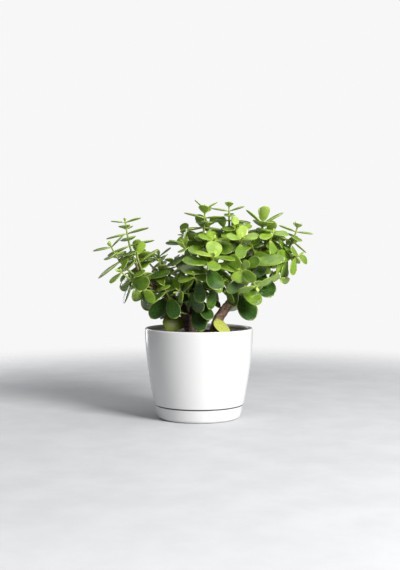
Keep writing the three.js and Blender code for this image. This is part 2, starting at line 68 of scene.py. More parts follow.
# ---------------------------------------------------------------- camera
LENS = 62.6
CAMERA_PLACE = (0.0017, -1.65, 0.29)
CAMERA_TILT = 2.4  # degrees down from level

scene = bpy.context.scene
camera_data = bpy.data.cameras.new("camera")
camera_data.lens = LENS
camera = bpy.data.objects.new("camera", camera_data)
camera.location = CAMERA_PLACE
camera.rotation_euler = (math.radians(90 - CAMERA_TILT), 0, 0)
scene.collection.objects.link(camera)
scene.camera = camera
scene.view_settings.view_transform = "Standard"


# ---------------------------------------------------------------- small helpers
def lerp(a, b, t):
    return a + (b - a) * t


def clamp(value, low=0.0, high=1.0):
    return max(low, min(high, value))


def smoothstep(low, high, value):
    t = clamp((value - low) / (high - low))
    return t * t * (3 - 2 * t)


WELD_DISTANCE = 2e-6


def welded(name):
    """The CAD node's mesh as a bmesh with its vertices joined."""
    bm = bmesh.new()
    bm.from_mesh(nodes[name].data)
    bmesh.ops.remove_doubles(bm, verts=bm.verts, dist=WELD_DISTANCE)
    bm.verts.ensure_lookup_table()
    return bm


class Build:
    """Collects the vertices, faces, materials and per-vertex values of one piece."""

    def __init__(self):
        self.verts = []
        self.faces = []
        self.slots = []
        self.values = {}

    def add(self, verts, faces, slot=0, **values):
        first = len(self.verts)
        self.verts.extend(verts)
        self.faces.extend(tuple(first + i for i in face) for face in faces)
        self.slots.extend([slot] * len(faces))
        for key, value in values.items():
            row = self.values.setdefault(key, [])
            row.extend([0.0] * (first - len(row)))
            row.extend(value if isinstance(value, list) else [value] * len(verts))

    def make(self, name, materials, replaced):
        mesh = bpy.data.meshes.new(name)
        mesh.from_pydata([tuple(v) for v in self.verts], [], self.faces)
        for material in materials:
            mesh.materials.append(material)
        mesh.polygons.foreach_set("material_index", self.slots)
        mesh.polygons.foreach_set("use_smooth", [True] * len(self.faces))
        for key, row in self.values.items():
            row.extend([0.0] * (len(self.verts) - len(row)))
            mesh.attributes.new(key, "FLOAT", "POINT").data.foreach_set("value", row)
        mesh.update()
        return finished(name, mesh, replaced)


def finished(name, mesh, replaced):
    piece = bpy.data.objects.new(name, mesh)
    scene.collection.objects.link(piece)
    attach(piece, "root")
    if replaced:
        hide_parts(*replaced)
    return piece


def polar(radius, angle, height=0.0):
    return Vector((radius * math.cos(angle), radius * math.sin(angle), height))


def tube_faces(rings, around):
    """Faces over `rings` rings of `around` vertices, with a pole for each end after the rings."""
    faces = []
    for k in range(rings - 1):
        for i in range(around):
            j = (i + 1) % around
            faces.append((k * around + i, k * around + j, (k + 1) * around + j, (k + 1) * around + i))
    start_pole, end_pole = rings * around, rings * around + 1
    last = (rings - 1) * around
    faces += [(start_pole, (i + 1) % around, i) for i in range(around)]
    faces += [(end_pole, last + i, last + (i + 1) % around) for i in range(around)]
    return faces


# ---------------------------------------------------------------- materials
class Shader:
    """A material with a Principled BSDF and short names for the nodes that feed it."""

    def __init__(self, name, **sockets):
        self.material = bpy.data.materials.new(name)
        self.material.use_nodes = True
        self.tree = self.material.node_tree
        self.bsdf = self.tree.nodes["Principled BSDF"]
        for key, value in sockets.items():
            self.bsdf.inputs[key.replace("_", " ")].default_value = value
        self.coordinates = self.node("ShaderNodeTexCoord").outputs["Object"]

    def node(self, kind, **settings):
        made = self.tree.nodes.new(kind)
        for key, value in settings.items():
            setattr(made, key, value)
        return made

    def plug(self, value, socket):
        if isinstance(value, bpy.types.NodeSocket):
            self.tree.links.new(value, socket)
        else:
            socket.default_value = value

    def attribute(self, name):
        return self.node("ShaderNodeAttribute", attribute_name=name).outputs["Fac"]

    def noise(self, scale, detail=3.0, stretch=None, rough=0.5):
        made = self.node("ShaderNodeTexNoise")
        made.inputs["Scale"].default_value = scale
        made.inputs["Detail"].default_value = detail
        made.inputs["Roughness"].default_value = rough
        self.plug(self.stretched(stretch), made.inputs["Vector"])
        return made.outputs["Fac"]

    def cells(self, scale, feature="F1"):
        made = self.node("ShaderNodeTexVoronoi", feature=feature)
        made.inputs["Scale"].default_value = scale
        self.plug(self.coordinates, made.inputs["Vector"])
        return made.outputs["Distance"]

    def stretched(self, stretch):
        if stretch is None:
            return self.coordinates
        mapping = self.node("ShaderNodeMapping")
        mapping.inputs["Scale"].default_value = stretch
        self.plug(self.coordinates, mapping.inputs["Vector"])
        return mapping.outputs["Vector"]

    def math(self, operation, a, b=0.0, clamped=False):
        made = self.node("ShaderNodeMath", operation=operation, use_clamp=clamped)
        self.plug(a, made.inputs[0])
        self.plug(b, made.inputs[1])
        return made.outputs[0]

    def remap(self, value, low, high, to_low=0.0, to_high=1.0):
        made = self.node("ShaderNodeMapRange", interpolation_type="SMOOTHSTEP")
        for socket, number in zip(made.inputs[1:5], (low, high, to_low, to_high)):
            socket.default_value = number
        self.plug(value, made.inputs[0])
        return made.outputs[0]

    def mix(self, factor, a, b, blend="MIX"):
        made = self.node("ShaderNodeMix", data_type="RGBA", blend_type=blend)
        self.plug(factor, made.inputs[0])
        self.plug((*a, 1) if isinstance(a, tuple) else a, made.inputs[6])
        self.plug((*b, 1) if isinstance(b, tuple) else b, made.inputs[7])
        return made.outputs[2]

    def colour(self, value):
        self.plug(value, self.bsdf.inputs["Base Color"])

    def roughness(self, value):
        self.plug(value, self.bsdf.inputs["Roughness"])

    def bump(self, height, distance, strength=1.0):
        made = self.node("ShaderNodeBump")
        made.inputs["Distance"].default_value = distance
        made.inputs["Strength"].default_value = strength
        self.plug(height, made.inputs["Height"])
        self.plug(made.outputs["Normal"], self.bsdf.inputs["Normal"])


def leaf_material(name, young, grown, old, edge, under, coat=0.35, sheen=0.5):
    """Colours for young, grown and old leaves, for margins and necks, and for the underside."""
    shader = Shader(
        name,
        Subsurface_Weight=0.1,
        Subsurface_Scale=0.004,
        Coat_Weight=coat,
        Coat_Roughness=0.14,
        Specular_IOR_Level=sheen,
    )
    shader.bsdf.inputs["Subsurface Radius"].default_value = (0.5, 1.0, 0.2)
    uneven = shader.noise(55, 3)
    drift = shader.math("ADD", shader.attribute("age"), shader.remap(uneven, 0.25, 0.75, -0.12, 0.12))
    green = shader.mix(shader.remap(drift, 0.0, 0.5), young, grown)
    green = shader.mix(shader.remap(drift, 0.45, 0.95), green, old)
    tint = shader.mix(shader.attribute("chance"), (0.78, 0.82, 0.7), (1.2, 1.14, 1.15))
    green = shader.mix(1.0, green, tint, "MULTIPLY")
    back = shader.mix(shader.remap(shader.noise(120, 4), 0.3, 0.7, 0.25, 0.6), under, green)
    green = shader.mix(shader.attribute("underside"), green, back)
    margin = shader.remap(shader.attribute("margin"), 0.6, 1.0, 0.0, 0.4)
    margin = shader.math("MULTIPLY", margin, shader.remap(uneven, 0.35, 0.6, 0.3, 1.0))
    green = shader.mix(margin, green, edge)
    neck = shader.remap(shader.attribute("along"), 0.02, 0.24, 0.65, 0.0)
    green = shader.mix(neck, green, edge)
    dots = shader.remap(shader.cells(700), 0.12, 0.2, 0.1, 0.0)
    green = shader.mix(dots, green, (0.5, 0.6, 0.2))
    shader.colour(green)
    shader.roughness(shader.remap(shader.noise(260, 4), 0.3, 0.75, 0.24, 0.38))
    skin = shader.math("ADD", shader.math("MULTIPLY", shader.noise(900, 2), 0.5), shader.noise(160, 2))
    shader.bump(skin, 0.0003, 0.45)
    return shader.material


def twig_material():
    """Green at the tip, woody and ringed at the foot."""
    shader = Shader("twig_skin", Subsurface_Weight=0.08, Subsurface_Scale=0.003)
    age = shader.attribute("age")
    rings = shader.noise(320, 3, (0.5, 0.5, 1.6))
    green = shader.mix(shader.remap(age, 0.0, 0.45), (0.42, 0.5, 0.1), (0.2, 0.3, 0.06))
    wood = shader.mix(rings, (0.16, 0.1, 0.055), (0.3, 0.22, 0.13))
    shader.colour(shader.mix(shader.remap(age, 0.5, 1.0), green, wood))
    shader.roughness(shader.remap(rings, 0.3, 0.7, 0.4, 0.65))
    shader.bump(rings, 0.0006, 0.8)
    return shader.material


def bark_material(name, painted_shade_factor):
    """Brown bark with paler rings, greener on young wood. A lower shade factor darkens it all over, as
    painted shade.
    """
    shader = Shader(name, Specular_IOR_Level=0.35)

    def tone(*colour):
        return tuple(painted_shade_factor * value for value in colour)

    ridge = shader.attribute("ridge")
    youth = shader.attribute("youth")
    grain = shader.noise(420, 5, (1.0, 1.0, 0.45), 0.6)
    patches = shader.noise(70, 4)
    brown = shader.mix(shader.remap(grain, 0.3, 0.7), tone(0.09, 0.046, 0.028), tone(0.34, 0.2, 0.135))
    brown = shader.mix(shader.remap(patches, 0.42, 0.65, 0.0, 0.75), brown, tone(0.46, 0.31, 0.235))
    brown = shader.mix(shader.remap(ridge, 0.2, 0.9, 0.0, 0.7), brown, tone(0.6, 0.42, 0.33))
    green = shader.mix(shader.remap(grain, 0.3, 0.7), tone(0.14, 0.15, 0.04), tone(0.3, 0.3, 0.1))
    shader.colour(shader.mix(shader.remap(youth, 0.35, 1.0), brown, green))
    shader.roughness(shader.remap(grain, 0.3, 0.7, 0.6, 0.85))
    scales = shader.math("MULTIPLY", shader.cells(260, "DISTANCE_TO_EDGE"), 0.6)
    cracks = shader.math("ADD", grain, scales)
    shader.bump(cracks, 0.0012, 0.9)
    return shader.material


def plastic_material(name):
    """White plastic, with painted shade in the seam between the pot and the saucer."""
    shader = Shader(name, Subsurface_Weight=0.04, Subsurface_Scale=0.004, IOR=1.47)
    faint = shader.noise(9, 4, (1.0, 1.0, 0.35))
    white = shader.mix(shader.remap(faint, 0.35, 0.7), (0.76, 0.76, 0.757), (0.79, 0.79, 0.787))
    parts = shader.node("ShaderNodeSeparateXYZ")
    shader.plug(shader.coordinates, parts.inputs[0])
    from_seam = shader.math("ABSOLUTE", shader.math("SUBTRACT", parts.outputs["Z"], seam_height))
    # Painted shade: near-black colour within about 1.5 mm of the seam, for the shade inside the gap
    # between pot and saucer.
    painted_seam_shade = shader.remap(from_seam, 0.9 * MM, 1.5 * MM, 0.85, 0.0)
    shader.colour(shader.mix(painted_seam_shade, white, (0.07, 0.068, 0.065)))
    scuffs = shader.noise(520, 3, (0.25, 0.25, 1.0))
    shader.roughness(shader.remap(scuffs, 0.35, 0.75, 0.17, 0.25))
    shader.bump(shader.math("ADD", scuffs, shader.noise(1400, 2)), 0.00003, 0.3)
    return shader.material


def soil_material():
    """Potting mix, dark where it is damp and paler where it has dried, and paler towards the lit right
    side as painted light.
    """
    shader = Shader("potting_mix", Specular_IOR_Level=0.25)
    crumbs = shader.noise(600, 5, None, 0.65)
    patches = shader.noise(45, 4)
    dark = shader.mix(shader.remap(crumbs, 0.3, 0.7), (0.012, 0.008, 0.005), (0.075, 0.048, 0.03))
    dry = shader.mix(shader.remap(crumbs, 0.3, 0.7), (0.1, 0.078, 0.06), (0.3, 0.25, 0.21))
    uneven = shader.math("SUBTRACT", patches, 0.5)
    # The pale mix marks dry patches (the noise) and painted light towards +x (the per-vertex value).
    dryness = shader.math("ADD", shader.attribute("dryness"), uneven, True)
    shader.colour(shader.mix(dryness, dark, dry))
    shader.roughness(shader.remap(crumbs, 0.3, 0.7, 0.8, 0.98))
    shader.bump(crumbs, 0.0015, 1.0)
    return shader.material


def crumb_material():
    shader = Shader("peat_crumbs", Specular_IOR_Level=0.25)
    grain = shader.noise(900, 4, None, 0.6)
    tone = shader.attribute("tone")
    brown = shader.mix(tone, (0.014, 0.009, 0.006), (0.16, 0.1, 0.06))
    shader.colour(shader.mix(shader.remap(grain, 0.35, 0.75, 0.0, 0.5), brown, (0.26, 0.19, 0.14)))
    shader.roughness(shader.remap(grain, 0.3, 0.7, 0.75, 0.95))
    shader.bump(grain, 0.0006, 0.8)
    return shader.material


def perlite_material():
    shader = Shader("perlite", Specular_IOR_Level=0.3, Subsurface_Weight=0.1, Subsurface_Scale=0.002)
    pores = shader.noise(1500, 4, None, 0.6)
    stained = shader.remap(pores, 0.4, 0.7, 0.0, 0.5)
    shader.colour(shader.mix(stained, (0.8, 0.79, 0.75), (0.42, 0.37, 0.31)))
    shader.roughness(shader.remap(pores, 0.3, 0.7, 0.7, 0.9))
    shader.bump(pores, 0.0006, 0.9)
    return shader.material


LEAF_SKIN = leaf_material(
    "leaf_skin",
    young=(0.48, 0.66, 0.1),
    grown=(0.2, 0.35, 0.02),
    old=(0.028, 0.085, 0.01),
    edge=(0.66, 0.74, 0.2),
    under=(0.3, 0.42, 0.09),
)
YELLOW_SKIN = leaf_material(
    "yellow_leaf_skin",
    young=(0.62, 0.64, 0.13),
    grown=(0.53, 0.58, 0.11),
    old=(0.46, 0.52, 0.09),
    edge=(0.76, 0.72, 0.3),
    under=(0.5, 0.54, 0.13),
)
# A darker copy of the leaf skin, painted shade for the leaf low over the soil, with no coat and little
# sheen so that it shows no glossy highlight.
DULL_PAINTED_SHADE_SKIN = leaf_material(
    "dull_painted_shade_leaf_skin",
    young=(0.3, 0.4, 0.05),
    grown=(0.15, 0.2, 0.01),
    old=(0.05, 0.09, 0.008),
    edge=(0.34, 0.4, 0.08),
    under=(0.14, 0.19, 0.02),
    coat=0.0,
    sheen=0.15,
)
TWIG_SKIN = twig_material()


# ---------------------------------------------------------------- leaves
LEAF_RINGS = (0.3, 0.74)  # where along a CAD leaf its two rings of corners lie
BLADE_AT_RING = 0.982  # the blade's width there, as a share of its widest
BLADE_RINGS = 17
BLADE_SIDES = 16
LEAST_HALF_WIDTH = 0.9 * MM  # of a blade at its neck
LEAST_CAD_SIDE = 1.8 * MM  # shorter edges at a corner mean that it isn't a leaf's tip


class Leaf:
    """A leaf's base, tip, midrib, half width and upward direction, in metres."""

    def __init__(self, base, middle, tip, across, up, half_width, half_thickness):
        self.base = base
        self.middle = middle  # the midrib's point at LEAF_RINGS[1]
        self.tip = tip
        self.across = across
        self.up = up
        self.half_width = half_width
        self.half_thickness = half_thickness
        self.length = (tip - base).length

    def midrib(self, share):
        s = LEAF_RINGS[1]
        return (
            self.base * ((share - s) * (share - 1) / s)
            + self.middle * (share * (share - 1) / (s * (s - 1)))
            + self.tip * (share * (share - s) / (1 - s))
        )


def farthest_pair(points):
    pairs = [(a, b) for i, a in enumerate(points) for b in points[i + 1 :]]
    return max(pairs, key=lambda pair: (pair[0] - pair[1]).length)


def cad_leaves(bm):
    """Finds the leaves of a CAD shoot: a tip with a ring of four corners, and four more behind them."""
    found, used = [], set()
    for vert in bm.verts:
        if len(vert.link_edges) != 4 or len(vert.link_faces) != 4:
            continue
        ring = [edge.other_vert(vert) for edge in vert.link_edges]
        members = set(ring)
        if any(sum(edge.other_vert(r) in members for edge in r.link_edges) != 2 for r in ring):
            continue
        lower = {edge.other_vert(r) for r in ring for edge in r.link_edges} - members - {vert}
        if len(lower) != 4 or min((r.co - vert.co).length for r in ring) < LEAST_CAD_SIDE:
            continue
        used.update({vert.index}, {r.index for r in ring}, {v.index for v in lower})
        left, right = farthest_pair([r.co for r in ring])
        low_left, low_right = farthest_pair([v.co for v in lower])
        middle, low_middle = (left + right) / 2, (low_left + low_right) / 2
        face, back = sorted(
            (r.co for r in ring if r.co not in (left, right)), key=lambda point: (point - middle).length
        )
        a, b = LEAF_RINGS
        base = (
            low_middle * (b / ((a - b) * (a - 1)))
            + middle * (a / ((b - a) * (b - 1)))
            + vert.co * (a * b / ((1 - a) * (1 - b)))
        )
        up = (face - back).normalized()
        across = (vert.co - base).cross(up).normalized()
        half_width = (left - right).length / 2 / BLADE_AT_RING
        half_thickness = (face - back).length / 2
        found.append(Leaf(base, middle, vert.co.copy(), across, up, half_width, half_thickness))
    return found, used


def blade_outline(bluntness):
    """The blade's width at a share of its length, 1 at its widest. A blunter one has a rounder tip."""

    def width(share):
        return share**0.78 * max(0.0, 1 - share**bluntness) ** 0.54

    widest = max(width(i / 60) for i in range(60))
    return lambda share: width(share) / widest


def blade_thickness(share):
    return (0.55 + 0.45 * smoothstep(0.0, 0.4, share)) * max(0.0, 1 - share**4) ** 0.5


def add_leaf(build, leaf, age, slot=0):
    """A fleshy blade: rounded margins, a slightly dished face, a deeper underside and a small point."""
    cup = rng.uniform(0.04, 0.16)
    roll = rng.uniform(-0.1, 0.1)
    wave = rng.uniform(0, 6.28)
    chance = rng.random()
    outline = blade_outline(rng.uniform(1.85, 2.7))
    verts, margin, underside, along = [], [], [], []
    for k in range(BLADE_RINGS):
        share = 1 - (1 - (k + 0.6) / (BLADE_RINGS - 0.4 + 0.6)) ** 1.35  # closer together at the tip
        centre = leaf.midrib(share)
        ahead = (leaf.midrib(share + 0.01) - leaf.midrib(share - 0.01)).normalized()
        up = (leaf.up - ahead * leaf.up.dot(ahead)).normalized()
        across = ahead.cross(up)
        width = max(leaf.half_width * outline(share), LEAST_HALF_WIDTH)
        width *= 1 + 0.03 * math.sin(7 * share + wave)
        thickness = leaf.half_thickness * blade_thickness(share)
        for i in range(BLADE_SIDES):
            angle = 2 * math.pi * i / BLADE_SIDES
            c, s = math.cos(angle), math.sin(angle)
            x = math.copysign(abs(c) ** 0.82, c)
            z = math.copysign(abs(s) ** 0.9, s) * (0.75 if s > 0 else 1.25)
            dish = cup * width * (x * x - 0.35) * smoothstep(0.1, 0.5, share)
            twist = roll * width * x * share
            verts.append(centre + across * (x * width) + up * (z * thickness + dish + twist))
            edge = abs(x) ** 3
            margin.append(max(edge, smoothstep(0.86, 1.0, share)))
            underside.append(1.0 if s < -0.05 else 0.0)
            along.append(share)
    start, end = leaf.midrib(0.0), leaf.midrib(1.0)
    end = end + (end - leaf.midrib(0.95)).normalized() * leaf.length * 0.012
    verts += [start, end]
    margin += [0.0, 1.0]
    underside += [0.5, 0.5]
    along += [0.0, 1.0]
    values = {"margin": margin, "underside": underside, "along": along, "age": age, "chance": chance}
    build.add(verts, tube_faces(BLADE_RINGS, BLADE_SIDES), slot, **values)


# ---------------------------------------------------------------- twigs
def catmull(points, per_span):
    """A smooth path through the points."""
    ends = [points[0] * 2 - points[1], *points, points[-1] * 2 - points[-2]]
    path = []
    for a, b, c, d in zip(ends, ends[1:], ends[2:], ends[3:]):
        for i in range(per_span):
            t = i / per_span
            bend = (2 * a - 5 * b + 4 * c - d) * t**2
            path.append(0.5 * (2 * b + (c - a) * t + bend + (3 * b - a - 3 * c + d) * t**3))
    return [*path, points[-1]]


def tube(path, radius_at, around):
    """Rings round a path. radius_at gives the radius for a distance along it."""
    verts, travelled = [], 0.0
    side = None
    distances = []
    for i, point in enumerate(path):
        ahead = (path[min(i + 1, len(path) - 1)] - path[max(i - 1, 0)]).normalized()
        if side is None:
            side = ahead.orthogonal().normalized()
        side = (side - ahead * side.dot(ahead)).normalized()
        other = ahead.cross(side)
        if i:
            travelled += (point - path[i - 1]).length
        radius = radius_at(travelled)
        for k in range(around):
            angle = 2 * math.pi * k / around
            verts.append(point + side * (radius * math.cos(angle)) + other * (radius * math.sin(angle)))
        distances += [travelled] * around
    verts += [path[0], path[-1]]
    distances += [0.0, travelled]
    return verts, distances, travelled


TWIG_SIDES = 12
TWIG_STEPS = 7  # from one joint of a twig to the next
TWIG_RADII = (2.5, 1.15)  # at the foot and at the tip, mm
TWIG_ROOT = 4.5 * MM  # how far a twig goes into its limb
TWIG_END = 2.2 * MM  # how far it goes on past its last leaves
JOINT_SWELL = 0.32  # share by which a twig is thicker at its joints
JOINT_SPREAD = 1.7 * MM
FLARE = 0.9 * MM  # added to the radius where the twig leaves the limb
FLARE_SPREAD = 5 * MM
SAME_NODE = 1.2 * MM  # leaves whose bases are closer than this are a pair
FOOT_SPREAD = 5 * MM


def twig_points(bm, leaves, used):
    """The twig's axis, from its foot in the limb through each pair of leaves to its tip."""
    pairs = []
    for leaf in leaves:
        for pair in pairs:
            if (pair[0].base - leaf.base).length < SAME_NODE:
                pair.append(leaf)
                break
        else:
            pairs.append([leaf])
    points = [sum((leaf.base for leaf in pair), Vector()) / len(pair) for pair in pairs]
    a, b = farthest_pair(points)
    wood = [v.co for v in bm.verts if v.index not in used]

    def beyond(end, other):
        direction = (end - other).normalized()
        outside = (p for p in wood if (p - end).dot(direction) > 0)
        return sorted(outside, key=lambda p: -(p - end).dot(direction))

    beyond_a, beyond_b = beyond(a, b), beyond(b, a)
    reach_a = (beyond_a[0] - a).length if beyond_a else 0
    reach_b = (beyond_b[0] - b).length if beyond_b else 0
    low, outside = (a, beyond_a) if reach_a > reach_b else (b, beyond_b)
    order = sorted(range(len(points)), key=lambda i: (points[i] - low).length)
    farthest = outside[0]
    foot = [p for p in outside if (p - farthest).length < FOOT_SPREAD]
    foot = sum(foot, Vector()) / len(foot)
    return foot, [points[i] for i in order], [pairs[i] for i in order]


def add_twig(build, foot, joints, slot):
    into_limb = (foot - joints[0]).normalized()
    root = foot + into_limb * TWIG_ROOT
    end = joints[-1] + (joints[-1] - joints[-2]).normalized() * TWIG_END
    path = catmull([root, foot, *joints, end], TWIG_STEPS)
    length = sum((b - a).length for a, b in zip(path, path[1:]))
    marks, travelled = [], 0.0
    for i, (a, b) in enumerate(zip(path, path[1:])):
        if i % TWIG_STEPS == 0 and i >= 2 * TWIG_STEPS:
            marks.append(travelled)
        travelled += (b - a).length

    def radius_at(distance):
        share = distance / length
        swell = sum(math.exp(-(((distance - mark) / JOINT_SPREAD) ** 2)) for mark in marks)
        flare = FLARE * math.exp(-distance / FLARE_SPREAD)
        return lerp(*TWIG_RADII, share) * MM * (1 + JOINT_SWELL * min(swell, 1.0)) + flare

    verts, distances, total = tube(path, radius_at, TWIG_SIDES)
    age = [clamp(1 - d / total) for d in distances]
    build.add(verts, tube_faces(len(path), TWIG_SIDES), slot, age=age)
    return end, (end - joints[-1]).normalized()


def add_bud(build, point, direction, pair):
    """The smallest pair of leaves, just opened crosswise to the pair below."""
    below = pair[0].tip - pair[0].base
    side = direction.cross(below).normalized()
    size = clamp(pair[0].length * rng.uniform(0.3, 0.42), 5 * MM, 11 * MM)
    for sign in (1, -1):
        lean = math.radians(rng.uniform(22, 42))
        ahead = direction * math.cos(lean) + side * (sign * math.sin(lean))
        up = (direction * math.sin(lean) - side * (sign * math.cos(lean))).normalized()
        base = point - direction * 1.2 * MM
        tip = base + ahead * size
        middle = base.lerp(tip, LEAF_RINGS[1]) + up * (-0.03 * size)
        bud = Leaf(base, middle, tip, ahead.cross(up), up, size * 0.25, size * 0.075)
        add_leaf(build, bud, 0.0)


# ---------------------------------------------------------------- leafy shoots and single leaves
def leaf_age(leaf, rank):
    """0 for young bright leaves at the tips, 1 for the old dark ones low inside the plant. The darkening
    with depth below the plant's top is partly age and partly painted shade low inside the plant.
    """
    height = clamp((leaf.tip.z - soil_top) / (plant_top - soil_top))
    # Darker the lower the leaf: partly leaf age, partly painted shade inside the plant.
    low_age_and_painted_shade = 0.62 * (1 - height) ** 1.1
    return clamp(0.16 + low_age_and_painted_shade + 0.26 * (1 - rank) + rng.uniform(-0.14, 0.14), 0.02, 1.0)


for name in nodes:
    if not name.startswith("shoot_"):
        continue
    bm = welded(name)
    leaves, used = cad_leaves(bm)
    foot, joints, pairs = twig_points(bm, leaves, used)
    bm.free()
    build = Build()
    for number, pair in enumerate(pairs):
        rank = number / max(1, len(pairs) - 1)
        for leaf in pair:
            add_leaf(build, leaf, leaf_age(leaf, rank))
    end, direction = add_twig(build, foot, joints, 1)
    add_bud(build, end, direction, pairs[-1])
    build.make(name + "_look", [LEAF_SKIN, TWIG_SKIN], [name])

OLD_LEAF = 0.95
SINGLE_AGES = {
    "leaf_big_right": 0.64,
    "leaf_right_of_stem": 0.6,
    "leaf_over_soil_left": 0.5,
    "leaf_under_left_limb": 0.8,
    "leaf_yellow": 0.5,
}
SINGLE_SKINS = {
    "leaf_yellow": (YELLOW_SKIN, "yellow_leaf"),
    # The leaf low over the soil gets the darker skin: painted shade.
    "leaf_over_soil_left": (DULL_PAINTED_SHADE_SKIN, "leaf"),
}
for name in nodes:
    if not name.startswith("leaf_"):
        continue
    bm = welded(name)
    leaves, _ = cad_leaves(bm)
    bm.free()
    build = Build()
    for leaf in leaves:
        add_leaf(build, leaf, SINGLE_AGES.get(name, OLD_LEAF))
    skin, slot_name = SINGLE_SKINS.get(name, (LEAF_SKIN, "leaf"))
    build.make(name + "_look", [skin], [name])


# ---------------------------------------------------------------- stems
VOXEL = 1.0 * MM
SMOOTHINGS = 10
RING_SPACING = 6.2 * MM
RING_WIDTH = 0.13  # share of the spacing
RING_HEIGHT, LUMP_HEIGHT, WRINKLE_HEIGHT = 0.55, 0.75, 0.22  # mm


def smooth_stem(name):
    """The CAD stem with its facets and joints smoothed."""
    bm = welded(name)
    mesh = bpy.data.meshes.new(name + "_raw")
    bm.to_mesh(mesh)
    bm.free()
    raw = bpy.data.objects.new(name + "_raw", mesh)
    scene.collection.objects.link(raw)
    remesh = raw.modifiers.new("remesh", "REMESH")
    remesh.mode = "VOXEL"
    remesh.voxel_size = VOXEL
    smooth = raw.modifiers.new("smooth", "SMOOTH")
    smooth.factor = 0.5
    smooth.iterations = SMOOTHINGS
    made = bpy.data.meshes.new_from_object(raw.evaluated_get(bpy.context.evaluated_depsgraph_get()))
    bpy.data.objects.remove(raw)
    return made


def surface_distances(bm, floor):
    """Distance over the surface from where the stem leaves the soil, for each vertex."""
    distances = [math.inf] * len(bm.verts)
    heap = []
    for vert in bm.verts:
        if vert.co.z < floor:
            distances[vert.index] = 0.0
            heap.append((0.0, vert.index))
    heapq.heapify(heap)
    while heap:
        distance, index = heapq.heappop(heap)
        if distance > distances[index]:
            continue
        vert = bm.verts[index]
        for face in vert.link_faces:
            for other in face.verts:
                step = distance + (other.co - vert.co).length
                if step < distances[other.index]:
                    distances[other.index] = step
                    heapq.heappush(heap, (step, other.index))
    return distances


def make_stem(name, painted_shade_factor):
    """The smoothed stem with ring ridges, lumps and wrinkles that fade towards its young ends."""
    mesh = smooth_stem(name)
    bm = bmesh.new()
    bm.from_mesh(mesh)
    bm.verts.ensure_lookup_table()
    bm.normal_update()
    distances = surface_distances(bm, soil_top - 4 * MM)
    for _ in range(6):
        distances = [
            (distances[v.index] + sum(distances[e.other_vert(v).index] for e in v.link_edges))
            / (1 + len(v.link_edges))
            for v in bm.verts
        ]
    farthest = max(distances)
    ridges, youths, moves = [], [], []
    for vert in bm.verts:
        point, distance = vert.co, distances[vert.index]
        wander = noise.noise(point * 55) * 0.35
        turn = distance / RING_SPACING + wander
        gap = abs(turn - math.floor(turn) - 0.5)
        strong = 0.55 + 0.45 * noise.noise(Vector((math.floor(turn) * 3.7, point.x * 30, point.y * 30)))
        ridge = math.exp(-((gap / RING_WIDTH) ** 2)) * strong
        lumps = noise.fractal(point * 95, 0.6, 2.0, 4)
        wrinkles = noise.noise(Vector((point.x * 700, point.y * 700, point.z * 160)))
        ridges.append(clamp(ridge))
        youths.append(distance / farthest)
        fade = 1 - 0.55 * distance / farthest
        rise = RING_HEIGHT * ridge + LUMP_HEIGHT * lumps + WRINKLE_HEIGHT * wrinkles
        moves.append(vert.normal * (rise * fade * MM))
    for vert, move in zip(bm.verts, moves):
        vert.co += move
    bm.to_mesh(mesh)
    bm.free()
    for key, row in (("ridge", ridges), ("youth", youths)):
        mesh.attributes.new(key, "FLOAT", "POINT").data.foreach_set("value", row)
    mesh.polygons.foreach_set("use_smooth", [True] * len(mesh.polygons))
    mesh.materials.clear()
    mesh.materials.append(bark_material(name + "_bark", painted_shade_factor))
    finished(name + "_look", mesh, [name])


# The left stem's bark is darkened to 0.4 as painted shade, for a stem that stands in the shadow of the
# leaves.
make_stem("left_stem", 0.4)
make_stem("right_stem", 1.0)


# ---------------------------------------------------------------- pot and saucer
OUTER_PART = 60 * MM  # further from the axis than this, a turned piece has no holes
CLEAR_ANGLE = 36  # degrees round the axis, between two drain holes
SHARP_TURN = 0.8  # radians
CORNER_BEVEL = 0.35 * MM
CURVE_STEPS = 8
FIT_HEIGHT = seam_height + 4 * MM  # below this the pot, the saucer and the soil fit into each other
LATHE_SIDES = 180


def half_profile(name):
    """The outline of a turned CAD node as [radius, height] points, from the axis round to the axis."""
    bm = welded(name)
    outer = [v for v in bm.verts if v.co.xy.length > OUTER_PART]
    around = {round(math.degrees(math.atan2(v.co.y, v.co.x)), 2) for v in outer}
    chosen = min(around, key=lambda angle: abs(angle - CLEAR_ANGLE))

    def in_plane(vert):
        angle = math.degrees(math.atan2(vert.co.y, vert.co.x))
        return vert.co.xy.length > 1e-5 and abs(angle - chosen) < 0.02

    start = max((v for v in bm.verts if in_plane(v)), key=lambda v: v.co.xy.length)
    seen, chains = {start.index}, []
    for _ in range(2):
        chain, vert = [], start
        while True:
            steps = [e.other_vert(vert) for e in vert.link_edges]
            steps = [v for v in steps if in_plane(v) and v.index not in seen]
            if not steps:
                break
            vert = min(steps, key=lambda v: (v.co - vert.co).length)
            seen.add(vert.index)
            chain.append(vert)
        chains.append(chain)
    ordered = [*reversed(chains[0]), start, *chains[1]]
    points = [(v.co.xy.length, v.co.z) for v in ordered]
    bm.free()
    return [(0.0, points[0][1]), *points, (0.0, points[-1][1])]


def radius_at_height(points, height):
    """The outermost radius of the outline at a height."""
    crossings = [
        lerp(a.x, b.x, (height - a.y) / (b.y - a.y))
        for a, b in zip(points, points[1:])
        if min(a.y, b.y) <= height <= max(a.y, b.y) and a.y != b.y
    ]
    return max(crossings, default=0.0)


def fits_another(points, a, b):
    """Whether a side lies in the fit of pot and saucer, where a curve would cross its neighbour."""
    if max(a.y, b.y) > FIT_HEIGHT:
        return False
    middle = (a + b) / 2
    belongs_to_pot = max(point.y for point in points) > 2 * seam_height
    return belongs_to_pot or middle.x < radius_at_height(points, middle.y) - 1.5 * MM


